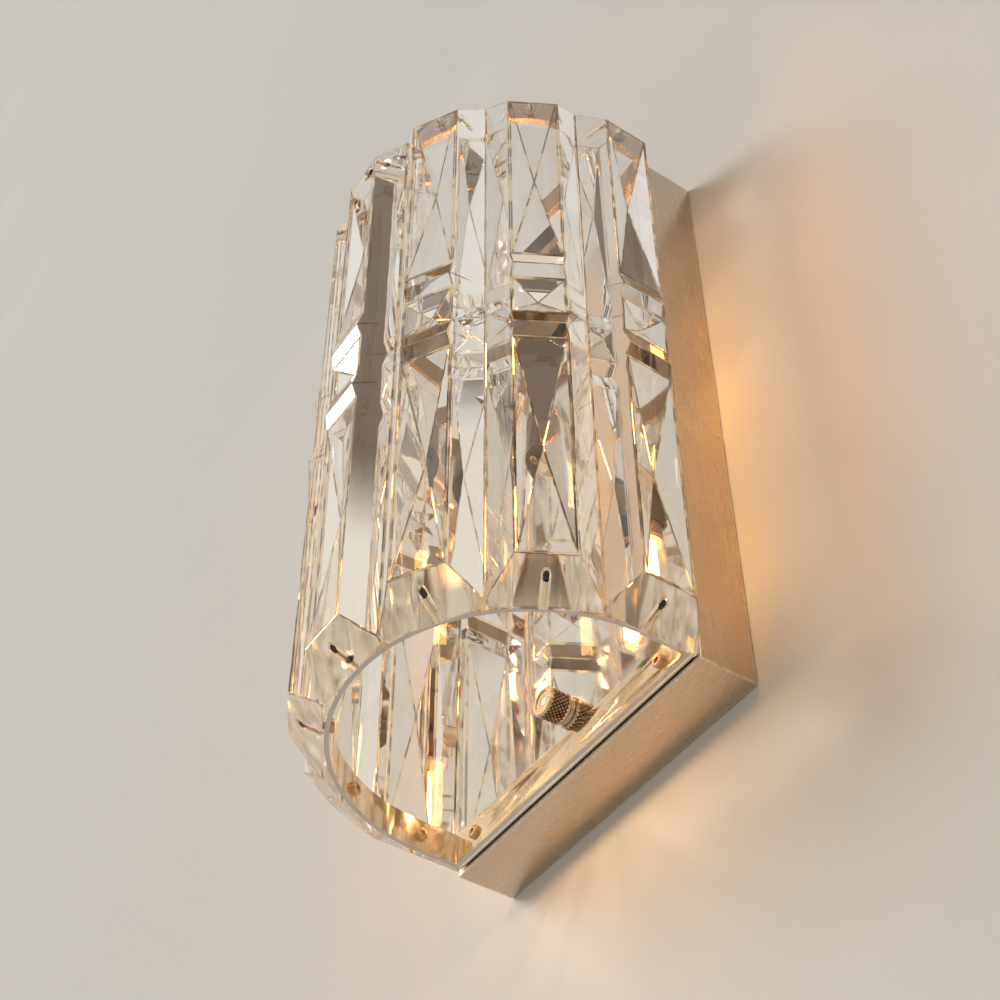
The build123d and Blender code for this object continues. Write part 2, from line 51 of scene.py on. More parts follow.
slotOfNode = {part["node"]: part["material_slot"] for part in frame["record"]["subparts"]}
print("frame loaded:", len(nodes), "nodes")


cameraLook = {
    "place": (0.42307, -0.34637, -0.58908),
    "turn": 55.552,      # degrees about Z, 0 looks into the wall
    "lift": 47.637,      # degrees above level
    "roll": -0.328,
    "lens": 67.23,
}


def addCamera(look):
    bpy.ops.object.select_all(action="DESELECT")
    turned = Matrix.Rotation(math.radians(look["turn"]), 3, "Z")
    lifted = Matrix.Rotation(math.radians(90 + look["lift"]), 3, "X")
    rolled = Matrix.Rotation(math.radians(look["roll"]), 3, "Z")
    angles = (turned @ lifted @ rolled).to_euler()
    bpy.ops.object.camera_add(location=look["place"], rotation=angles)
    camera = bpy.context.object
    camera.name = "sconceCamera"
    camera.data.lens = look["lens"]
    camera.data.sensor_width = 36
    camera.data.clip_start = 0.01
    bpy.context.scene.camera = camera


addCamera(cameraLook)
scene = bpy.context.scene
scene.view_settings.view_transform = "Standard"

# cut glass in front of a mirror needs long light paths
lightPaths = {
    "max_bounces": 96,
    "transmission_bounces": 64,
    "glossy_bounces": 64,
    "transparent_max_bounces": 32,
}
for setting, bounces in lightPaths.items():
    setattr(scene.cycles, setting, bounces)
print("camera set")


# shared shader groups
def startGroup(name, inputs, outputs):
    tree = bpy.data.node_groups.new(name, "ShaderNodeTree")
    for label, kind, value in inputs:
        socket = tree.interface.new_socket(label, in_out="INPUT", socket_type="NodeSocket" + kind)
        if value is not None:
            socket.default_value = value
    for label, kind in outputs:
        tree.interface.new_socket(label, in_out="OUTPUT", socket_type="NodeSocket" + kind)
    return tree, tree.nodes.new("NodeGroupInput"), tree.nodes.new("NodeGroupOutput")


def feed(tree, value, socket):  # links a socket, or sets a number
    if hasattr(value, "is_linked"):
        tree.links.new(value, socket)
    else:
        socket.default_value = value


def maths(tree, operation, first, second=None):
    node = tree.nodes.new("ShaderNodeMath")
    node.operation = operation
    feed(tree, first, node.inputs[0])
    if second is not None:
        feed(tree, second, node.inputs[1])
    return node.outputs[0]


def addScaled(tree, base, mask, amount):
    return maths(tree, "ADD", base, maths(tree, "MULTIPLY", mask, amount))


def splitAxes(tree, vector):
    node = tree.nodes.new("ShaderNodeSeparateXYZ")
    tree.links.new(vector, node.inputs[0])
    return node.outputs


def noise(tree, vector, scale, detail=3.0, distortion=0.0):
    node = tree.nodes.new("ShaderNodeTexNoise")
    tree.links.new(vector, node.inputs["Vector"])
    feed(tree, scale, node.inputs["Scale"])
    node.inputs["Detail"].default_value = detail
    node.inputs["Distortion"].default_value = distortion
    return node.outputs["Fac"]


def remap(tree, value, fromLow, fromHigh, toLow=0.0, toHigh=1.0, smooth=False):
    node = tree.nodes.new("ShaderNodeMapRange")
    node.interpolation_type = "SMOOTHSTEP" if smooth else "LINEAR"
    tree.links.new(value, node.inputs["Value"])
    limits = {"From Min": fromLow, "From Max": fromHigh, "To Min": toLow, "To Max": toHigh}
    for label, number in limits.items():
        feed(tree, number, node.inputs[label])
    return node.outputs["Result"]


def makeGrainGroup():  # long fine lines left by a brushing belt, along the vector's stretched axis
    tree, start, end = startGroup(
        "brushedGrain",
        [("Vector", "Vector", None), ("Scale", "Float", 1.0)],
        [("Height", "Float"), ("Tone", "Float")],
    )
    fine = noise(tree, start.outputs["Vector"], start.outputs["Scale"], 4.0)
    half = maths(tree, "MULTIPLY", start.outputs["Scale"], 0.31)
    broad = noise(tree, start.outputs["Vector"], half, 2.0)
    height = maths(tree, "MULTIPLY", fine, remap(tree, broad, 0.3, 0.7, 0.55, 1.0))
    tree.links.new(height, end.inputs["Height"])
    tree.links.new(remap(tree, fine, 0.3, 0.7), end.inputs["Tone"])
    return tree


def makeSmudgeGroup():  # faint cloudy marks from handling
    tree, start, end = startGroup(
        "handlingMarks",
        [("Vector", "Vector", None), ("Scale", "Float", 40.0)],
        [("Mask", "Float")],
    )
    cloud = noise(tree, start.outputs["Vector"], start.outputs["Scale"], 5.0, 0.6)
    tree.links.new(remap(tree, cloud, 0.42, 0.68, smooth=True), end.inputs["Mask"])
    return tree


hairlineShape = {"bendScale": 9.0, "bendShare": 0.03, "lineWidth": 0.014, "patchScale": 55.0}


def makeScratchGroup(shape):  # hairline scratches
    tree, start, end = startGroup(
        "hairlines",
        [("Vector", "Vector", None), ("Scale", "Float", 120.0)],
        [("Mask", "Float")],
    )
    bend = tree.nodes.new("ShaderNodeTexNoise")
    tree.links.new(start.outputs["Vector"], bend.inputs["Vector"])
    bend.inputs["Scale"].default_value = shape["bendScale"]
    mixed = tree.nodes.new("ShaderNodeMix")
    mixed.data_type = "VECTOR"
    mixed.inputs["Factor"].default_value = shape["bendShare"]
    tree.links.new(start.outputs["Vector"], mixed.inputs[4])
    tree.links.new(bend.outputs["Color"], mixed.inputs[5])
    cells = tree.nodes.new("ShaderNodeTexVoronoi")
    cells.feature = "DISTANCE_TO_EDGE"
    tree.links.new(mixed.outputs[1], cells.inputs["Vector"])
    tree.links.new(start.outputs["Scale"], cells.inputs["Scale"])
    line = remap(tree, cells.outputs["Distance"], 0.0, shape["lineWidth"], 1.0, 0.0)
    patch = noise(tree, start.outputs["Vector"], shape["patchScale"], 2.0)
    patch = remap(tree, patch, 0.5, 0.7, smooth=True)
    tree.links.new(maths(tree, "MULTIPLY", line, patch), end.inputs["Mask"])
    return tree


def makeEdgeGroup():  # 1 near the edges of a box of the given half sizes, broken up by noise
    tree, start, end = startGroup(
        "edgeWear",
        [
            ("Vector", "Vector", None),
            ("Half Size", "Vector", (0.05, 0.05, 0.05)),
            ("Width", "Float", 0.001),
        ],
        [("Mask", "Float")],
    )
    size = splitAxes(tree, start.outputs["Half Size"])
    point = splitAxes(tree, start.outputs["Vector"])
    gaps = []
    for axis in range(3):
        away = maths(tree, "ABSOLUTE", point[axis])
        gaps.append(maths(tree, "ABSOLUTE", maths(tree, "SUBTRACT", size[axis], away)))
    least = maths(tree, "MINIMUM", maths(tree, "MINIMUM", gaps[0], gaps[1]), gaps[2])
    most = maths(tree, "MAXIMUM", maths(tree, "MAXIMUM", gaps[0], gaps[1]), gaps[2])
    total = maths(tree, "ADD", maths(tree, "ADD", gaps[0], gaps[1]), gaps[2])
    second = maths(tree, "SUBTRACT", maths(tree, "SUBTRACT", total, least), most)
    near = remap(tree, second, 0.0, start.outputs["Width"], 1.0, 0.0, smooth=True)
    worn = remap(tree, noise(tree, start.outputs["Vector"], 420.0, 4.0), 0.35, 0.62, 0.15, 1.0)
    tree.links.new(maths(tree, "MULTIPLY", near, worn), end.inputs["Mask"])
    return tree


def makeDustGroup():  # fine dust that settles on what faces upwards
    tree, start, end = startGroup(
        "settledDust",
        [("Vector", "Vector", None), ("Scale", "Float", 900.0)],
        [("Mask", "Float")],
    )
    facing = splitAxes(tree, tree.nodes.new("ShaderNodeNewGeometry").outputs["Normal"])
    upward = remap(tree, facing["Z"], 0.55, 0.98, smooth=True)
    specks = remap(tree, noise(tree, start.outputs["Vector"], start.outputs["Scale"], 4.0), 0.45, 0.72)
    tree.links.new(maths(tree, "MULTIPLY", upward, specks), end.inputs["Mask"])
    return tree


def makeWaveGroup():  # slow waves left in pressed and polished surfaces
    tree, start, end = startGroup(
        "slowWaves",
        [("Vector", "Vector", None), ("Scale", "Float", 60.0)],
        [("Height", "Float")],
    )
    height = noise(tree, start.outputs["Vector"], start.outputs["Scale"], 1.0, 0.4)
    tree.links.new(height, end.inputs["Height"])
    return tree


groups = {
    "grain": makeGrainGroup(),
    "smudge": makeSmudgeGroup(),
    "hairline": makeScratchGroup(hairlineShape),
    "edge": makeEdgeGroup(),
    "dust": makeDustGroup(),
    "wave": makeWaveGroup(),
}
print("shader groups made:", len(groups))


def newMaterial(name):
    material = bpy.data.materials.new(name)
    material.use_nodes = True
    tree = material.node_tree
    tree.nodes.clear()
    output = tree.nodes.new("ShaderNodeOutputMaterial")
    shader = tree.nodes.new("ShaderNodeBsdfPrincipled")
    tree.links.new(shader.outputs[0], output.inputs["Surface"])
    return material, tree, shader, output


def objectVector(tree, centre=(0, 0, 0), stretch=(1, 1, 1)):
    place = tree.nodes.new("ShaderNodeTexCoord")
    mapping = tree.nodes.new("ShaderNodeMapping")
    mapping.inputs["Location"].default_value = [-c * s for c, s in zip(centre, stretch)]
    mapping.inputs["Scale"].default_value = stretch
    tree.links.new(place.outputs["Object"], mapping.inputs["Vector"])
    return mapping.outputs["Vector"]


def useGroup(tree, name, vector, **values):
    node = tree.nodes.new("ShaderNodeGroup")
    node.node_tree = groups[name]
    tree.links.new(vector, node.inputs["Vector"])
    for label, value in values.items():
        node.inputs[label].default_value = value
    return node


def mixColour(tree, mask, first, second):
    node = tree.nodes.new("ShaderNodeMix")
    node.data_type = "RGBA"
    tree.links.new(mask, node.inputs["Factor"])
    for place, value in ((6, first), (7, second)):
        feed(tree, value if hasattr(value, "is_linked") else (*value, 1.0), node.inputs[place])
    return node.outputs[2]


def mixVector(tree, mask, first, second):
    node = tree.nodes.new("ShaderNodeMix")
    node.data_type = "VECTOR"
    tree.links.new(mask, node.inputs["Factor"])
    tree.links.new(first, node.inputs[4])
    tree.links.new(second, node.inputs[5])
    return node.outputs[1]


def mixShaders(tree, mask, first, second, output):
    node = tree.nodes.new("ShaderNodeMixShader")
    tree.links.new(mask, node.inputs[0])
    tree.links.new(first.outputs[0], node.inputs[1])
    tree.links.new(second.outputs[0], node.inputs[2])
    tree.links.new(node.outputs[0], output.inputs["Surface"])


def facingUpOrDown(tree, low, high):  # 1 where a face looks up or down, 0 where it stands upright
    facing = splitAxes(tree, tree.nodes.new("ShaderNodeNewGeometry").outputs["True Normal"])
    return remap(tree, maths(tree, "ABSOLUTE", facing["Z"]), low, high)


def bump(tree, height, distance, strength=1.0, normal=None):
    node = tree.nodes.new("ShaderNodeBump")
    node.inputs["Strength"].default_value = strength
    node.inputs["Distance"].default_value = distance
    tree.links.new(height, node.inputs["Height"])
    if normal is not None:
        tree.links.new(normal, node.inputs["Normal"])
    return node.outputs["Normal"]


dustColour = (0.5, 0.48, 0.45)


def dusted(tree, colour, dust, share):
    return mixColour(tree, maths(tree, "MULTIPLY", dust.outputs["Mask"], share), colour, dustColour)


boxLook = {
    "metal": (0.66, 0.545, 0.43),
    "grainTone": (0.61, 0.50, 0.39),
    "edgeTone": (0.84, 0.75, 0.64),
    "roughness": (0.24, 0.29),
    "grainStretch": (3200, 3200, 20),
    "endGrainStretch": (20, 3200, 3200),
    "grainDepth": 0.000005,
    "edgeWidth": 0.0012,
    "endsFrom": 0.6,           # how far a face looks up or down before the grain turns across
    "endsTo": 0.8,
    "smudgeScale": 26.0,
    "smudgeRoughness": 0.05,
    "dustShare": 0.35,
    "dustRoughness": 0.3,
}


def makeBoxSteel(look):
    material, tree, shader, output = newMaterial("boxSteel")
    low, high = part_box("back_box")
    upright = objectVector(tree, stretch=look["grainStretch"])
    across = objectVector(tree, stretch=look["endGrainStretch"])
    ends = facingUpOrDown(tree, look["endsFrom"], look["endsTo"])
    grain = useGroup(tree, "grain", mixVector(tree, ends, upright, across))
    smudge = useGroup(tree, "smudge", objectVector(tree), Scale=look["smudgeScale"])
    wear = useGroup(tree, "edge", objectVector(tree, centre=(low + high) / 2), Width=look["edgeWidth"])
    wear.inputs["Half Size"].default_value = (high - low) / 2
    dust = useGroup(tree, "dust", objectVector(tree))
    colour = mixColour(tree, grain.outputs["Tone"], look["grainTone"], look["metal"])
    colour = mixColour(tree, wear.outputs["Mask"], colour, look["edgeTone"])
    tree.links.new(dusted(tree, colour, dust, look["dustShare"]), shader.inputs["Base Color"])
    rough = remap(tree, grain.outputs["Tone"], 0.0, 1.0, *look["roughness"])
    rough = addScaled(tree, rough, smudge.outputs["Mask"], look["smudgeRoughness"])
    rough = addScaled(tree, rough, dust.outputs["Mask"], look["dustRoughness"])
    tree.links.new(rough, shader.inputs["Roughness"])
    shader.inputs["Metallic"].default_value = 1.0
    tree.links.new(bump(tree, grain.outputs["Height"], look["grainDepth"], 0.6), shader.inputs["Normal"])
    return material


mirrorLook = {
    "metal": (0.86, 0.83, 0.79),
    "roughness": 0.025,
    "smudgeRoughness": 0.05,
    "smudgeTone": 0.9,
    "smudgeScale": 34.0,
    "hairlineScale": 90.0,
    "hairlineRoughness": 0.12,
    "waveScale": 22.0,
    "waveDepth": 0.00004,
}


def makeMirrorSteel(look):
    material, tree, shader, output = newMaterial("mirrorSteel")
    smudge = useGroup(tree, "smudge", objectVector(tree), Scale=look["smudgeScale"])
    lines = useGroup(tree, "hairline", objectVector(tree), Scale=look["hairlineScale"])
    wave = useGroup(tree, "wave", objectVector(tree), Scale=look["waveScale"])
    darker = tuple(c * look["smudgeTone"] for c in look["metal"])
    colour = mixColour(tree, smudge.outputs["Mask"], look["metal"], darker)
    tree.links.new(colour, shader.inputs["Base Color"])
    rough = remap(tree, smudge.outputs["Mask"], 0.0, 1.0, look["roughness"], look["smudgeRoughness"])
    rough = addScaled(tree, rough, lines.outputs["Mask"], look["hairlineRoughness"])
    tree.links.new(rough, shader.inputs["Roughness"])
    shader.inputs["Metallic"].default_value = 1.0
    tree.links.new(bump(tree, wave.outputs["Height"], look["waveDepth"], 0.5), shader.inputs["Normal"])
    return material


bandLook = {
    "metal": (0.84, 0.68, 0.48),
    "rim": (0.62, 0.59, 0.56),
    "roughness": 0.05,
    "rimRoughness": 0.34,
    "roughnessRange": 0.05,
    "rimRoughnessRange": 0.12,
    "sawStretch": (900, 900, 2600),
    "sawDepth": 0.00005,
    "smudgeScale": 60.0,
    "waveScale": 70.0,
    "waveDepth": 0.00008,
}

# painted shade: the upper band hangs in the dark end of the shade, and its metal and rim are coloured deep
# brown
shadedUpperBandLook = dict(
    bandLook,
    metal=(0.34, 0.19, 0.075),
    rim=(0.62, 0.44, 0.24),
    rimRoughness=0.2,
    waveDepth=0.00012,
)


def makeBandSteel(look, name="bandSteel"):
    material, tree, shader, output = newMaterial(name)
    facing = splitAxes(tree, tree.nodes.new("ShaderNodeNewGeometry").outputs["Normal"])
    rim = remap(tree, maths(tree, "ABSOLUTE", facing["Z"]), 0.5, 0.9)
    grain = useGroup(tree, "grain", objectVector(tree, stretch=look["sawStretch"]))
    smudge = useGroup(tree, "smudge", objectVector(tree), Scale=look["smudgeScale"])
    wave = useGroup(tree, "wave", objectVector(tree), Scale=look["waveScale"])
    tree.links.new(mixColour(tree, rim, look["metal"], look["rim"]), shader.inputs["Base Color"])
    low, high = look["roughness"], look["roughness"] + look["roughnessRange"]
    polished = remap(tree, smudge.outputs["Mask"], 0.0, 1.0, low, high)
    low, high = look["rimRoughness"], look["rimRoughness"] + look["rimRoughnessRange"]
    sawn = remap(tree, grain.outputs["Tone"], 0.0, 1.0, low, high)
    difference = maths(tree, "MULTIPLY", maths(tree, "SUBTRACT", sawn, polished), rim)
    tree.links.new(maths(tree, "ADD", polished, difference), shader.inputs["Roughness"])
    shader.inputs["Metallic"].default_value = 1.0
    sawMarks = bump(tree, maths(tree, "MULTIPLY", grain.outputs["Height"], rim), look["sawDepth"], 0.7)
    waves = bump(tree, wave.outputs["Height"], look["waveDepth"], 0.4, sawMarks)
    tree.links.new(waves, shader.inputs["Normal"])
    return material


crystalLook = {
    "glass": (0.985, 0.98, 0.97),
    "glassTint": (0.975, 0.955, 0.92),
    "ior": 1.52,
    "waveScale": 42.0,
    "waveDepth": 0.00004,
    "smudgeScale": 70.0,
    "smudgeRoughness": 0.006,
    "hairlineScale": 160.0,
    "hairlineRoughness": 0.05,
    "paintedEndGlow": (1.0, 0.87, 0.62),     # painted glow: the ground lower ends are tinted warm as if the lamps' light came through them
    "endRoughness": 0.12,
    "paintedWarmLight": (1.0, 0.955, 0.87),   # painted lamp light: the lower half is tinted warm
    "warmFrom": 0.07,                 # level where the warm tint starts, and where it is full
    "warmTo": -0.09,
    "shadeLow": (0.42, 0.36, 0.30),   # light thrown through the cuts falls in soft streaks
    "shadeHigh": (1.12, 1.03, 0.94),
    "streakStretch": (150, 150, 16),
    "edge": (1.0, 0.66, 0.27),        # painted highlight: the narrow eased edges are coloured warm gold, in patches with painted shade
    "paintedDarkShade": (0.16, 0.10, 0.055),
    "edgePatchScale": 110.0,
    "bar": (0.11, 0.045, 0.014),      # painted shade: the cross ridge below mid height is coloured deep amber
}


def glassFor(tree, shader, output, look, thrown=None):  # light from lamps passes straight through
    shader.inputs["Metallic"].default_value = 0.0
    shader.inputs["Transmission Weight"].default_value = 1.0
    shader.inputs["IOR"].default_value = look["ior"]
    clear = tree.nodes.new("ShaderNodeBsdfTransparent")
    if thrown is None:
        clear.inputs["Color"].default_value = (*look["lampTint"], 1.0)
    else:
        tree.links.new(thrown, clear.inputs["Color"])
    rays = tree.nodes.new("ShaderNodeLightPath")
    mixShaders(tree, rays.outputs["Is Shadow Ray"], shader, clear, output)


def makeCrystal(look, name="cutCrystal"):
    material, tree, shader, output = newMaterial(name)
    wave = useGroup(tree, "wave", objectVector(tree), Scale=look["waveScale"])
    smudge = useGroup(tree, "smudge", objectVector(tree), Scale=look["smudgeScale"])
    lines = useGroup(tree, "hairline", objectVector(tree), Scale=look["hairlineScale"])
    level = splitAxes(tree, objectVector(tree))["Z"]
    ends = facingUpOrDown(tree, 0.55, 0.65)
    ends = maths(tree, "MULTIPLY", ends, maths(tree, "LESS_THAN", level, 0.0))
    clean = mixColour(tree, smudge.outputs["Mask"], look["glass"], look["glassTint"])
    # painted lamp light: warmer towards the bottom
    warm = remap(tree, level, look["warmFrom"], look["warmTo"])
    clean = mixColour(tree, warm, clean, look["paintedWarmLight"])
    # the eased edges: painted warm highlight in patches with painted shade
    if name == "crystalEdgeGlint":
        patches = remap(tree, noise(tree, objectVector(tree), look["edgePatchScale"], 2.0), 0.46, 0.54)
        clean = mixColour(tree, patches, look["edge"], look["paintedDarkShade"])
    # the cross ridge: painted shade
    if name == "crystalRidgeShade":
        clean = mixColour(tree, smudge.outputs["Mask"], look["bar"], look["paintedDarkShade"])
    # the ground lower ends take the painted glow
    tree.links.new(mixColour(tree, ends, clean, look["paintedEndGlow"]), shader.inputs["Base Color"])
    rough = maths(tree, "MULTIPLY", lines.outputs["Mask"], look["hairlineRoughness"])
    rough = addScaled(tree, rough, smudge.outputs["Mask"], look["smudgeRoughness"])
    rough = addScaled(tree, rough, ends, look["endRoughness"])
    tree.links.new(rough, shader.inputs["Roughness"])
    tree.links.new(bump(tree, wave.outputs["Height"], look["waveDepth"], 0.25), shader.inputs["Normal"])
    streaks = noise(tree, objectVector(tree, stretch=look["streakStretch"]), 1.0, 2.0)
    streaks = remap(tree, streaks, 0.38, 0.62, smooth=True)
    glassFor(tree, shader, output, look, mixColour(tree, streaks, look["shadeLow"], look["shadeHigh"]))
    return material


lampGlassLook = {
    "ior": 1.46,
    "lampTint": (1.0, 0.97, 0.92),
    "glass": (0.98, 0.98, 0.97),
    "smudgeTint": (0.94, 0.93, 0.9),
    "smudgeScale": 120.0,
    "smudgeRoughness": 0.03,
}


def makeLampGlass(look):
    material, tree, shader, output = newMaterial("lampGlass")
    marks = useGroup(tree, "smudge", objectVector(tree), Scale=look["smudgeScale"]).outputs["Mask"]
    tree.links.new(mixColour(tree, marks, look["glass"], look["smudgeTint"]), shader.inputs["Base Color"])
    tree.links.new(maths(tree, "MULTIPLY", marks, look["smudgeRoughness"]), shader.inputs["Roughness"])
    glassFor(tree, shader, output, look)
    return material


padLook = {
    "ior": 1.43,
    "lampTint": (0.9, 0.88, 0.84),
    "glass": (0.9, 0.9, 0.88),
    "cloudTint": (0.82, 0.81, 0.78),
    "cloudScale": 400.0,
    "roughness": (0.12, 0.3),
}


def makeClearPad(look):
    material, tree, shader, output = newMaterial("clearPad")
    cloud = useGroup(tree, "smudge", objectVector(tree), Scale=look["cloudScale"]).outputs["Mask"]
    tree.links.new(mixColour(tree, cloud, look["glass"], look["cloudTint"]), shader.inputs["Base Color"])
    tree.links.new(remap(tree, cloud, 0.0, 1.0, *look["roughness"]), shader.inputs["Roughness"])
    glassFor(tree, shader, output, look)
    return material


lampLightLook = {
    "glow": (1.0, 0.50, 0.17),
    "strength": 150.0,
    "chip": (0.95, 0.8, 0.4),
    "gap": (0.85, 0.6, 0.2),
    "gapGlow": 0.7,
    "chipPitch": 0.0016,
    "roughness": 0.5,
}


def makeLampLight(look):
    material, tree, shader, output = newMaterial("lampLight")
    rows = maths(tree, "PINGPONG", splitAxes(tree, objectVector(tree))["Z"], look["chipPitch"])
    chips = remap(tree, rows, look["chipPitch"] * 0.25, look["chipPitch"] * 0.55, 0.55, 1.0)
    dark = tuple(c * look["gapGlow"] for c in look["glow"])
    tree.links.new(mixColour(tree, chips, dark, look["glow"]), shader.inputs["Emission Color"])
    shader.inputs["Emission Strength"].default_value = look["strength"]
    tree.links.new(mixColour(tree, chips, look["gap"], look["chip"]), shader.inputs["Base Color"])
    shader.inputs["Roughness"].default_value = look["roughness"]
    return material


# polished, plated and turned metals: colour, darker tone, roughness from and to, grain stretch and depth
metalWear = {"smudgeScale": 180.0, "dustScale": 1400.0, "dustShare": 0.2, "grainStrength": 0.6}
metalLooks = {
    # the nuts' groove colour is painted shade in the knurling's sunk points
    "nut_metal": {"metal": (0.80, 0.62, 0.42), "dark": (0.52, 0.37, 0.23), "rough": (0.14, 0.26),
                  "stretch": (700, 300, 700), "depth": 0.00004, "grooveShade": (0.10, 0.055, 0.03)},
    "zinc_steel": {"metal": (0.66, 0.66, 0.64), "dark": (0.50, 0.51, 0.52), "rough": (0.32, 0.48),
                   "stretch": (260, 260, 260), "depth": 0.00003},
    # painted shade: the hub is coloured near black brown so that it shows as dark
    "hub_steel": {"metal": (0.20, 0.125, 0.07), "dark": (0.11, 0.065, 0.035), "rough": (0.16, 0.28),
                  "stretch": (300, 300, 1400), "depth": 0.00002},
    "screw_steel": {"metal": (0.70, 0.46, 0.25), "dark": (0.42, 0.27, 0.15), "rough": (0.16, 0.28),
                    "stretch": (900, 900, 900), "depth": 0.00002},
    "brass": {"metal": (0.80, 0.62, 0.30), "dark": (0.62, 0.45, 0.19), "rough": (0.2, 0.34),
              "stretch": (900, 900, 900), "depth": 0.00002},
    "pin_metal": {"metal": (0.70, 0.69, 0.66), "dark": (0.5, 0.49, 0.47), "rough": (0.25, 0.4),
                  "stretch": (500, 500, 2400), "depth": 0.00002},
}


def makeMetal(name, look):
    material, tree, shader, output = newMaterial(name)
    grain = useGroup(tree, "grain", objectVector(tree, stretch=look["stretch"]))
    smudge = useGroup(tree, "smudge", objectVector(tree), Scale=metalWear["smudgeScale"])
    dust = useGroup(tree, "dust", objectVector(tree), Scale=metalWear["dustScale"])
    tone = maths(tree, "MULTIPLY", grain.outputs["Tone"], smudge.outputs["Mask"])
    colour = mixColour(tree, tone, look["metal"], look["dark"])
    if "grooveShade" in look:  # the thumb nuts' knurling, with painted shade in its sunk points
        cut = tree.nodes.new("ShaderNodeAttribute")
        cut.attribute_name = "grooveShade"
        colour = mixColour(tree, remap(tree, cut.outputs["Fac"], 0.3, 0.7), colour, look["grooveShade"])
    tree.links.new(dusted(tree, colour, dust, metalWear["dustShare"]), shader.inputs["Base Color"])
    tree.links.new(remap(tree, tone, 0.0, 1.0, *look["rough"]), shader.inputs["Roughness"])
    shader.inputs["Metallic"].default_value = 1.0
    grainBump = bump(tree, grain.outputs["Height"], look["depth"], metalWear["grainStrength"])
    tree.links.new(grainBump, shader.inputs["Normal"])
    return material


# moulded, fired and rubber pieces: colour, second tone, roughness from and to, speckle scale and depth
mouldedWear = {"smudgeScale": 90.0, "dustScale": 1400.0, "dustShare": 0.25, "speckleStrength": 0.5}
mouldedLooks = {
    "black_rubber": {"base": (0.025, 0.025, 0.026), "second": (0.05, 0.048, 0.046), "rough": (0.5, 0.75),
                     "speckle": 900.0, "depth": 0.00006},
    # painted shade: the lampholders are coloured near black brown so that they show as dark
    "holder_ceramic": {"base": (0.055, 0.034, 0.02), "second": (0.09, 0.06, 0.038), "rough": (0.22, 0.42),
                       "speckle": 500.0, "depth": 0.00004},
    "lamp_base_plastic": {"base": (0.30, 0.22, 0.15), "second": (0.38, 0.30, 0.22), "rough": (0.3, 0.45),
                          "speckle": 700.0, "depth": 0.00003},
    "terminal_plastic": {"base": (0.80, 0.79, 0.74), "second": (0.70, 0.69, 0.62), "rough": (0.38, 0.55),
                         "speckle": 700.0, "depth": 0.00004},
    "lead_sleeve": {"base": (0.83, 0.81, 0.76), "second": (0.66, 0.63, 0.57), "rough": (0.5, 0.7),
                    "speckle": 1500.0, "depth": 0.00010},
}


def makeMoulded(name, look):
    material, tree, shader, output = newMaterial(name)
    place = objectVector(tree)
    speckle = noise(tree, place, look["speckle"], 3.0)
    smudge = useGroup(tree, "smudge", place, Scale=mouldedWear["smudgeScale"])
    dust = useGroup(tree, "dust", place, Scale=mouldedWear["dustScale"])
    tone = maths(tree, "MULTIPLY", speckle, smudge.outputs["Mask"])
    colour = mixColour(tree, tone, look["base"], look["second"])
    tree.links.new(dusted(tree, colour, dust, mouldedWear["dustShare"]), shader.inputs["Base Color"])
    tree.links.new(remap(tree, speckle, 0.3, 0.7, *look["rough"]), shader.inputs["Roughness"])
    speckleBump = bump(tree, speckle, look["depth"], mouldedWear["speckleStrength"])
    tree.links.new(speckleBump, shader.inputs["Normal"])
    return material


finishes = {
    "box_steel": makeBoxSteel(boxLook),
    "mirror_steel": makeMirrorSteel(mirrorLook),
    "band_steel": makeBandSteel(bandLook),
    "crystal": makeCrystal(crystalLook),
    "lamp_glass": makeLampGlass(lampGlassLook),
    "clear_pad": makeClearPad(padLook),
    "lamp_light": makeLampLight(lampLightLook),
}
crystalEdgeGlint = makeCrystal(crystalLook, "crystalEdgeGlint")
crystalRidgeShade = makeCrystal(crystalLook, "crystalRidgeShade")
upperBandPaintedShade = makeBandSteel(shadedUpperBandLook, "upperBandPaintedShade")
for slotName, slotLook in metalLooks.items():
    finishes[slotName] = makeMetal(slotName, slotLook)
for slotName, slotLook in mouldedLooks.items():
    finishes[slotName] = makeMoulded(slotName, slotLook)
for nodeName, node in nodes.items():
    for place in node.material_slots:
        place.material = finishes[slotOfNode[nodeName]]
print("finishes made:", len(finishes))


def deselectAll():
    if bpy.context.object and bpy.context.object.mode != "OBJECT":
        bpy.ops.object.mode_set(mode="OBJECT")
    bpy.ops.object.select_all(action="DESELECT")


def makeActive(piece):
    deselectAll()
    piece.select_set(True)
    bpy.context.view_layer.objects.active = piece


def pick(piece, kind, parts, wanted):  # leaves edit mode on, with the wanted parts selected
    bpy.ops.object.mode_set(mode="EDIT")
    bpy.ops.mesh.select_mode(type=kind)
    bpy.ops.mesh.select_all(action="DESELECT")
    bpy.ops.object.mode_set(mode="OBJECT")
    for part in getattr(piece.data, parts):
        part.select = wanted(part)
    bpy.ops.object.mode_set(mode="EDIT")


def pickEdges(piece, wanted):
    pick(piece, "EDGE", "edges", lambda edge: wanted(piece.data, edge))


def pickFaces(piece, wanted):
    pick(piece, "FACE", "polygons", wanted)


def pickVertices(piece, wanted):
    pick(piece, "VERT", "vertices", wanted)


def linkedCopy(model, name):
    piece = bpy.data.objects.new(name, model.data.copy())
    bpy.context.scene.collection.objects.link(piece)
    return piece


mending = {"weldDistance": 0.000002, "flatAngle": 0.4}


def copyOfNode(nodeName, pieceName):
    piece = linkedCopy(nodes[nodeName], pieceName)
    makeActive(piece)
    bpy.ops.object.mode_set(mode="EDIT")
    bpy.ops.mesh.select_all(action="SELECT")
    bpy.ops.mesh.remove_doubles(threshold=mending["weldDistance"])
    bpy.ops.mesh.dissolve_limited(angle_limit=math.radians(mending["flatAngle"]))
    bpy.ops.object.mode_set(mode="OBJECT")
    return piece


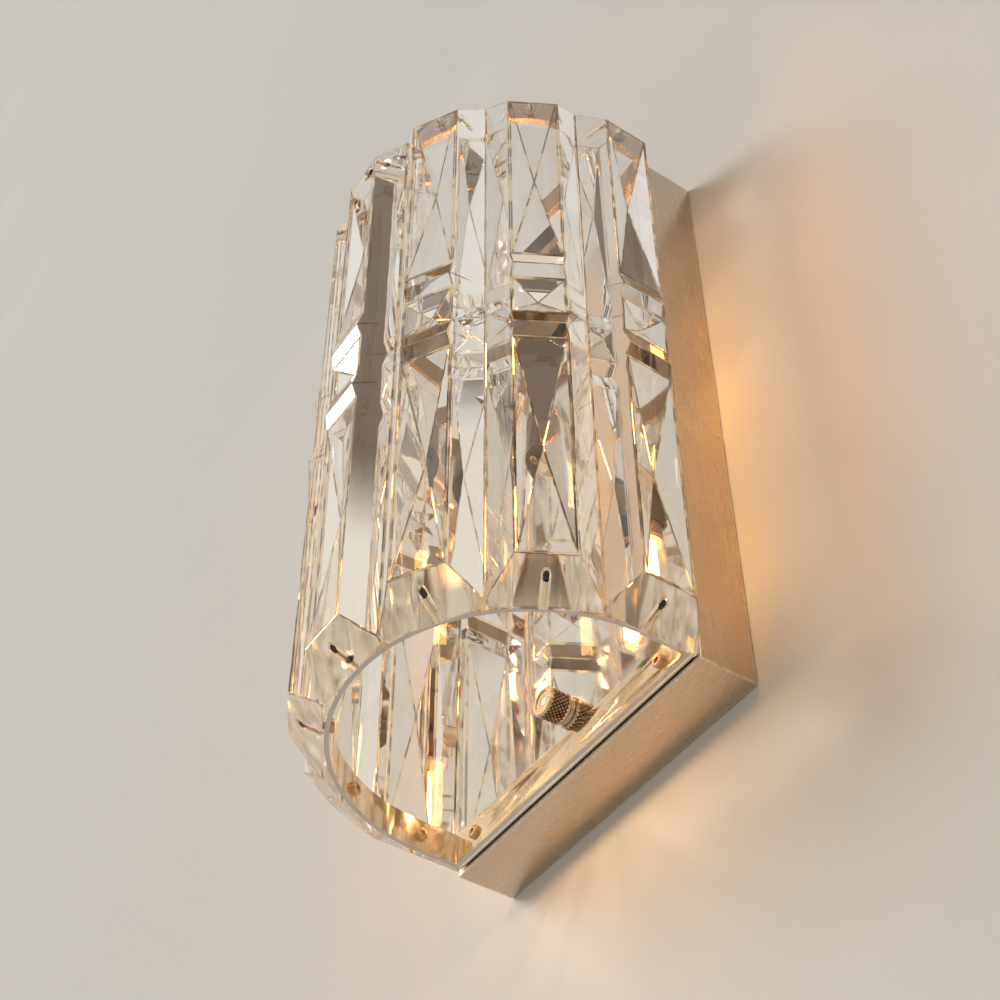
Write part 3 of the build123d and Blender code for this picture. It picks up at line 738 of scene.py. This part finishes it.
def finishPiece(piece, nodeName, smoothAngle=None):
    makeActive(piece)
    if smoothAngle is None:
        bpy.ops.object.shade_flat()
    else:
        bpy.ops.object.shade_smooth_by_angle(angle=math.radians(smoothAngle))
    piece.data.materials.clear()
    piece.data.materials.append(finishes[slotOfNode[nodeName]])
    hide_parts(nodeName)
    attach(piece, bodyOfNode[nodeName])


def edgeTurn(faceNormals, edge):
    normals = faceNormals.get(tuple(sorted(edge.vertices)), ())
    if len(normals) != 2:
        return 0.0
    return math.degrees(normals[0].angle(normals[1], 0.0))


def normalsByEdge(mesh):
    found = {}
    for face in mesh.polygons:
        for key in face.edge_keys:
            found.setdefault(tuple(sorted(key)), []).append(face.normal.copy())
    return found


# the crystals stand in a half ring about the bands' centre: angle of the first one and from one to the next
crystalRow = {"count": 7, "firstAngle": -90, "step": 30}


def turnToPlace(number):  # from the middle crystal's place to that of crystal 1 to 7
    bandLow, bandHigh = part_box("lower_band")
    centre = Vector((0, bandLow.y + bandHigh.x, 0))
    angle = math.radians(crystalRow["firstAngle"] + crystalRow["step"] * (number - 1))
    return Matrix.Translation(centre) @ Matrix.Rotation(angle, 4, "Z") @ Matrix.Translation(-centre)


crystalShape = {
    "softEdge": 0.0004,
    "softSteps": 2,
    "sharpest": 2.2,           # degrees between two faces past which their edge is eased
    "holeRoom": 0.0024,        # the screw holes' mouths keep their edges
    "holeReach": 0.013,
    "barLevel": -0.0193,       # the lower cross ridge, from the crystal's middle
    "barReach": 0.006,
    "barArea": 0.00005,
    "barFacing": 0.9,          # 1 looks straight out of the shade
}


def modelCrystal(shape):
    piece = copyOfNode("crystal_4", "crystalModel")
    piece.data.materials.append(crystalEdgeGlint)
    piece.data.materials.append(crystalRidgeShade)
    mesh = piece.data
    low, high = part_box("crystal_4")
    around = normalsByEdge(mesh)

    def nearHole(end):
        return abs(end.x) < shape["holeRoom"] and min(end.z - low.z, high.z - end.z) < shape["holeReach"]

    def onFacet(mesh, edge):
        inHole = all(nearHole(mesh.vertices[v].co) for v in edge.vertices)
        return not inHole and edgeTurn(around, edge) > shape["sharpest"]

    pickEdges(piece, onFacet)
    # the eased edges get the painted highlight finish
    bpy.ops.mesh.bevel(offset=shape["softEdge"], segments=shape["softSteps"], profile=0.5,
                       clamp_overlap=True, affect="EDGES", material=1)
    bpy.ops.object.mode_set(mode="OBJECT")
    middle = (low.z + high.z) / 2
    # the cross ridge's outward faces get the painted shade finish
    for face in mesh.polygons:
        offLevel = abs(face.center.z - middle - shape["barLevel"])
        facesOut = face.normal.y < -shape["barFacing"]
        if offLevel < shape["barReach"] and facesOut and face.area > shape["barArea"]:
            face.material_index = 2
    print("crystal faces:", len(mesh.polygons))
    return piece


def placeCrystals(model):
    for number in range(1, crystalRow["count"] + 1):
        piece = linkedCopy(model, f"cut_crystal_{number}")
        piece.data.transform(turnToPlace(number))
        kinds = [face.material_index for face in piece.data.polygons]
        finishPiece(piece, f"crystal_{number}")
        piece.data.materials.append(crystalEdgeGlint)
        piece.data.materials.append(crystalRidgeShade)
        for face, kind in zip(piece.data.polygons, kinds):
            face.material_index = kind
    bpy.data.objects.remove(model)


placeCrystals(modelCrystal(crystalShape))
print("crystals placed")


# painted shade: small dark plugs in the mouths of the screw holes, cut flush with the sloping ends
holeShadeShape = {
    "radius": 0.0011,
    "sides": 32,
    "sunk": 0.00025,
    "thickness": 0.0013,
    "rodLength": 2.4,          # the rod that is cut down to a plug, in lengths of the sloping end
    "smooth": 30.0,
}


def modelHoleShade(shape, level, endLevel, backDepth):
    deselectAll()
    reach = abs(level - endLevel)
    bpy.ops.mesh.primitive_cylinder_add(vertices=shape["sides"], radius=shape["radius"],
                                        depth=shape["rodLength"] * reach,
                                        location=(0, backDepth - reach, level),
                                        rotation=(math.radians(90), 0, 0))
    piece = bpy.context.object
    bpy.ops.object.transform_apply(location=True, rotation=True, scale=True)
    outward = Vector((0, -1, -1 if level > endLevel else 1)).normalized()
    mouth = Vector((0, backDepth - reach, level)) - outward * shape["sunk"]
    inner = mouth - outward * shape["thickness"]
    bpy.ops.object.mode_set(mode="EDIT")
    for point, keepInner in ((mouth, True), (inner, False)):
        bpy.ops.mesh.select_all(action="SELECT")
        bpy.ops.mesh.bisect(plane_co=point, plane_no=outward, use_fill=True,
                            clear_outer=keepInner, clear_inner=not keepInner)
    bpy.ops.mesh.select_all(action="SELECT")
    bpy.ops.mesh.normals_make_consistent(inside=False)
    bpy.ops.object.mode_set(mode="OBJECT")
    return piece


def joinPieces(pieces, name):
    deselectAll()
    for piece in pieces:
        piece.select_set(True)
    bpy.context.view_layer.objects.active = pieces[0]
    bpy.ops.object.join()
    pieces[0].name = name
    return pieces[0]


def addHoleShade(shape):
    low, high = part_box("crystal_4")
    for name, endLevel in (("lower", low.z), ("upper", high.z)):
        bandLow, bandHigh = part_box(name + "_band")
        model = modelHoleShade(shape, (bandLow.z + bandHigh.z) / 2, endLevel, high.y)
        plugs = []
        for number in range(1, crystalRow["count"] + 1):
            plug = linkedCopy(model, "plug")
            plug.data.transform(turnToPlace(number))
            plugs.append(plug)
        bpy.data.objects.remove(model)
        piece = joinPieces(plugs, name + "_hole_shade_plugs")
        makeActive(piece)
        bpy.ops.object.shade_smooth_by_angle(angle=math.radians(shape["smooth"]))
        piece.data.materials.clear()
        piece.data.materials.append(finishes["black_rubber"])
        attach(piece, "fixture")


addHoleShade(holeShadeShape)
print("hole plugs made")


nutShape = {
    "columns": 44,
    "rows": 8,
    "knurlDepth": 0.00062,
    "proud": 0.0003,           # the raised points stand past the turned blank
    "chamfer": 0.0006,
    "landWidth": 0.0013,       # plain ring round the front recess
    "recessDepth": 0.0004,
    "boreRadius": 0.00208,
    "smooth": 12.0,
}


def shrinkPicked(factor):
    bpy.ops.transform.resize(value=(factor, factor, 1), center_override=(0, 0, 0))


def modelNut(shape, length, radius):  # centred on the origin, front end up
    deselectAll()
    plain = length - 2 * shape["chamfer"]
    bpy.ops.mesh.primitive_cylinder_add(vertices=shape["columns"], radius=radius, depth=plain)
    piece = bpy.context.object
    piece.name = "nutModel"

    def upright(mesh, edge):
        first, second = [mesh.vertices[v].co for v in edge.vertices]
        return abs(first.z - second.z) > plain / 2

    pickEdges(piece, upright)
    bpy.ops.mesh.subdivide(number_cuts=shape["rows"])
    step = plain / (shape["rows"] + 1)

    def sunk(vertex):  # every second point, as on a chessboard
        column = round(math.atan2(vertex.co.y, vertex.co.x) / (2 * math.pi / shape["columns"]))
        row = round((vertex.co.z + plain / 2) / step)
        return 0 < row < shape["rows"] + 1 and (column + row) % 2 == 1

    pickVertices(piece, sunk)
    bpy.ops.object.mode_set(mode="OBJECT")
    # the sunk points are marked for the painted shade
    grooveShade = piece.data.attributes.new("grooveShade", "FLOAT", "POINT")
    for place, vertex in zip(grooveShade.data, piece.data.vertices):
        place.value = 1.0 if vertex.select else 0.0
    bpy.ops.object.mode_set(mode="EDIT")
    shrinkPicked(1 - shape["knurlDepth"] / radius)
    endRadius = radius - shape["chamfer"]
    for side in (-1, 1):
        pickFaces(piece, lambda face: side * face.normal.z > 0.9 and abs(face.center.z) > plain * 0.45)
        outward = (0, 0, side * shape["chamfer"])
        bpy.ops.mesh.extrude_region_move(TRANSFORM_OT_translate={"value": outward})
        shrinkPicked(endRadius / radius)
        floorRadius = endRadius
        if side > 0:
            bpy.ops.mesh.inset(thickness=shape["landWidth"])
            inward = (0, 0, -shape["recessDepth"])
            bpy.ops.mesh.extrude_region_move(TRANSFORM_OT_translate={"value": inward})
            floorRadius = endRadius - shape["landWidth"]
        bpy.ops.mesh.inset(thickness=floorRadius - shape["boreRadius"])
    inBore = shape["boreRadius"] * 1.2
    pickFaces(piece, lambda face: len(face.vertices) > 8 and abs(face.normal.z) > 0.9)
    bpy.ops.mesh.delete(type="FACE")

    def onBore(mesh, edge):
        ends = [mesh.vertices[v].co for v in edge.vertices]
        return all(math.hypot(end.x, end.y) < inBore for end in ends)

    bpy.ops.object.mode_set(mode="OBJECT")
    pickEdges(piece, onBore)
    bpy.ops.mesh.bridge_edge_loops()
    bpy.ops.mesh.select_all(action="SELECT")
    bpy.ops.mesh.normals_make_consistent(inside=False)
    bpy.ops.object.mode_set(mode="OBJECT")
    return piece


def placeNuts(shape):
    low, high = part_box("lower_knurled_nut")
    model = modelNut(shape, high.y - low.y, (high.x - low.x) / 2 + shape["proud"])
    for name in ("lower", "upper"):
        low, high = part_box(name + "_knurled_nut")
        piece = linkedCopy(model, name + "_thumb_nut")
        frontOut = Matrix.Rotation(math.radians(90), 4, "X")
        piece.data.transform(Matrix.Translation((low + high) / 2) @ frontOut)
        finishPiece(piece, name + "_knurled_nut", shape["smooth"])
    bpy.data.objects.remove(model)


placeNuts(nutShape)
print("thumb nuts made")


# turned, bent and moulded pieces with their edges eased: width of the easing, in metres
easedNodes = {
    "lower_band": 0.00022,
    "upper_band": 0.00022,
    "lower_band_screws": 0.0001,
    "upper_band_screws": 0.0001,
    "lower_crystal_screws": 0.0001,
    "upper_crystal_screws": 0.0001,
    "nut_washers": 0.00012,
    "lamp_hub": 0.0002,
    "stem_collar": 0.0002,
    "lamp_stem": 0.0001,
    "lower_lampholder": 0.0003,
    "upper_lampholder": 0.0003,
    "lower_lamp_base": 0.0004,
    "upper_lamp_base": 0.0004,
    "holder_screws": 0.0001,
}
easing = {"sharp": 40.0, "steps": 2, "smooth": 19.0}  # smooth stays under a bevel step's turn


def easeNode(nodeName, width):
    piece = copyOfNode(nodeName, "eased_" + nodeName)
    around = normalsByEdge(piece.data)
    pickEdges(piece, lambda mesh, edge: edgeTurn(around, edge) > easing["sharp"])
    bpy.ops.mesh.bevel(offset=width, segments=easing["steps"], profile=0.5,
                       clamp_overlap=True, affect="EDGES")
    bpy.ops.object.mode_set(mode="OBJECT")
    finishPiece(piece, nodeName, easing["smooth"])


for nodeName, width in easedNodes.items():
    easeNode(nodeName, width)
# the upper band takes the painted shade finish
bpy.data.objects["eased_upper_band"].data.materials[0] = upperBandPaintedShade
print("eased pieces made:", len(easedNodes))


stageLook = {
    "wall": (0.62, 0.60, 0.565),
    "floor": (0.62, 0.60, 0.56),
    "cloudTone": 1.03,
    "cloudScale": 3.0,
    "roughness": 0.9,
    "floorDrop": 0.78,
    "reach": 60.0,
    "wallGap": 0.0004,
    "openingInset": 0.002,
}


def behindBox(tree, place):  # 1 behind the box, where the wall lets light in for views from the back
    low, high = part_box("back_box")
    inset = stageLook["openingInset"]
    point = splitAxes(tree, place)
    across = maths(tree, "LESS_THAN", maths(tree, "ABSOLUTE", point["X"]), high.x - inset)
    above = maths(tree, "GREATER_THAN", point["Z"], low.z + inset)
    below = maths(tree, "LESS_THAN", point["Z"], high.z - inset)
    return maths(tree, "MULTIPLY", across, maths(tree, "MULTIPLY", above, below))


def stageMaterial(name, colour):  # clear from the back
    material, tree, shader, output = newMaterial(name)
    cloud = useGroup(tree, "smudge", objectVector(tree), Scale=stageLook["cloudScale"])
    lighter = tuple(c * stageLook["cloudTone"] for c in colour)
    tree.links.new(mixColour(tree, cloud.outputs["Mask"], colour, lighter), shader.inputs["Base Color"])
    shader.inputs["Roughness"].default_value = stageLook["roughness"]
    clear = tree.nodes.new("ShaderNodeBsdfTransparent")
    side = tree.nodes.new("ShaderNodeNewGeometry")
    rays = tree.nodes.new("ShaderNodeLightPath")
    unseen = maths(tree, "SUBTRACT", 1.0, rays.outputs["Is Camera Ray"])
    opened = maths(tree, "MULTIPLY", behindBox(tree, side.outputs["Position"]), unseen)
    opened = maths(tree, "MAXIMUM", side.outputs["Backfacing"], opened)
    mixShaders(tree, opened, shader, clear, output)
    return material


def addSheet(name, size, place, turn, material):
    deselectAll()
    bpy.ops.mesh.primitive_plane_add(size=size, location=place, rotation=turn)
    sheet = bpy.context.object
    sheet.name = name
    sheet.data.materials.append(material)


def addStage(look):
    reach = look["reach"]
    upright = (math.radians(90), 0, 0)
    wallPlace = (0, look["wallGap"], reach / 2 - look["floorDrop"])
    floorPlace = (0, -reach / 2, -look["floorDrop"])
    wallPaint = stageMaterial("wallPaint", look["wall"])
    floorPaint = stageMaterial("floorPaint", look["floor"])
    addSheet("wall", reach, wallPlace, upright, wallPaint)
    addSheet("floor", reach, floorPlace, (0, 0, 0), floorPaint)


addStage(stageLook)

# the room that glass and metal show: pale round about, a dark ceiling, the lamps' glow on it
worldLook = {
    "light": (0.36, 0.352, 0.345),    # what falls on dull surfaces
    "pale": (0.78, 0.745, 0.70),
    "ceiling": (0.075, 0.038, 0.018),
    "ceilingFrom": 0.892,             # sine of the height angle
    "ceilingTo": 0.915,
    "glow": (0.95, 0.56, 0.22),
    "glowFrom": 0.968,
    "glowTo": 0.982,
    "screen": (0.12, 0.075, 0.04),    # a dark screen to the left
    "screenToward": (-0.50, -0.31, 0.804),
    "screenFrom": 0.990,
    "screenTo": 0.996,
}


def makeWorld(look):
    world = bpy.data.worlds.new("softRoom")
    bpy.context.scene.world = world
    world.use_nodes = True
    tree = world.node_tree
    tree.nodes.clear()
    output = tree.nodes.new("ShaderNodeOutputWorld")
    background = tree.nodes.new("ShaderNodeBackground")
    tree.links.new(background.outputs[0], output.inputs[0])
    place = tree.nodes.new("ShaderNodeTexCoord")
    height = splitAxes(tree, place.outputs["Generated"])["Z"]
    toward = tree.nodes.new("ShaderNodeVectorMath")
    toward.operation = "DOT_PRODUCT"
    tree.links.new(place.outputs["Generated"], toward.inputs[0])
    toward.inputs[1].default_value = Vector(look["screenToward"]).normalized()
    up = remap(tree, height, look["ceilingFrom"], look["ceilingTo"], smooth=True)
    glow = remap(tree, height, look["glowFrom"], look["glowTo"], smooth=True)
    screen = remap(tree, toward.outputs["Value"], look["screenFrom"], look["screenTo"], smooth=True)
    room = mixColour(tree, screen, look["pale"], look["screen"])
    room = mixColour(tree, up, room, look["ceiling"])
    room = mixColour(tree, glow, room, look["glow"])
    rays = tree.nodes.new("ShaderNodeLightPath")
    seen = maths(tree, "MAXIMUM", rays.outputs["Is Camera Ray"], rays.outputs["Is Glossy Ray"])
    seen = maths(tree, "MAXIMUM", seen, rays.outputs["Is Transmission Ray"])
    tree.links.new(mixColour(tree, seen, look["light"], room), background.inputs["Color"])


makeWorld(worldLook)

sunLook = {"from": (-0.62, -0.60, 0.50), "strength": 2.2, "softness": 24.0, "tint": (1.0, 0.985, 0.96)}


def addLight(name, kind, place, strength, tint):
    deselectAll()
    bpy.ops.object.light_add(type=kind, location=place)
    light = bpy.context.object
    light.name = name
    light.data.energy = strength
    light.data.color = tint
    light.visible_transmission = False
    return light


def aimAt(light, direction):
    light.rotation_euler = Vector(direction).to_track_quat("-Z", "Y").to_euler()


def addSun(look):
    light = addLight("softKey", "SUN", (0, -1, 1), look["strength"], look["tint"])
    light.data.angle = math.radians(look["softness"])
    aimAt(light, -Vector(look["from"]))


# light that the crystals throw back past the box: on the wall, and as a long gleam on the box's sides
# each level is its height, its length and its share of the power
thrownLook = {
    "levels": (
        (0.112, 0.030, 0.6),
        (0.060, 0.040, 1.0),
        (0.005, 0.030, 1.4),
        (-0.045, 0.045, 1.2),
        (-0.105, 0.040, 0.9),
    ),
    "side": 0.0838,
    "depth": -0.0268,
    "width": 0.0035,
    "spread": 0.15,            # how far the light leans away from the box
    "power": 0.0033,
    "tint": (1.0, 0.56, 0.24),
}
gleamLook = dict(
    thrownLook,
    levels=((0.085, 0.090, 0.5), (0.015, 0.090, 1.5), (-0.045, 0.100, 1.6), (-0.110, 0.070, 1.2)),
    power=0.019,
    tint=(1.0, 0.55, 0.11),
)


def addThrownLight(look, onWall):
    for side in (-1, 1):
        for level, length, share in look["levels"]:
            place = (side * look["side"], look["depth"], level)
            name = "thrownLight" if onWall else "boxGleam"
            light = addLight(name, "AREA", place, look["power"] * share, look["tint"])
            light.data.shape = "RECTANGLE"
            light.data.size = look["width"]
            light.data.size_y = length
            light.visible_camera = False
            light.visible_glossy = not onWall
            light.visible_diffuse = onWall
            aimAt(light, (side * look["spread"], 1.0, 0))


# lamp light that falls out of the shade's open lower end in fans of streaks
spillLook = {
    "places": ((-0.016, 1.0), (0.030, 0.65)),  # place across and share of the power
    "depth": -0.050,
    "level": -0.146,
    "radius": 0.004,
    "power": 0.085,
    "tint": (1.0, 0.60, 0.28),
    "streaks": 7.0,
    "lowest": 0.65,
    "highest": 1.3,
    "seedScale": 100.0,        # gives each fan its own streaks
}


def addSpill(look):
    for across, share in look["places"]:
        place = (across, look["depth"], look["level"])
        light = addLight("lowerSpill", "POINT", place, look["power"] * share, look["tint"])
        light.data.shadow_soft_size = look["radius"]
        light.visible_camera = False
        light.visible_glossy = False
        light.data.use_nodes = True
        tree = light.data.node_tree
        toward = splitAxes(tree, tree.nodes.new("ShaderNodeTexCoord").outputs["Normal"])
        joined = tree.nodes.new("ShaderNodeCombineXYZ")
        tree.links.new(maths(tree, "DIVIDE", toward["X"], toward["Z"]), joined.inputs["X"])
        joined.inputs["Y"].default_value = across * look["seedScale"]
        streaks = noise(tree, joined.outputs[0], look["streaks"], 2.0)
        streaks = remap(tree, streaks, 0.38, 0.64, look["lowest"], look["highest"])
        tree.links.new(streaks, tree.nodes["Emission"].inputs["Strength"])


addSun(sunLook)
addThrownLight(thrownLook, True)
addThrownLight(gleamLook, False)
addSpill(spillLook)
print("stage and lights made")
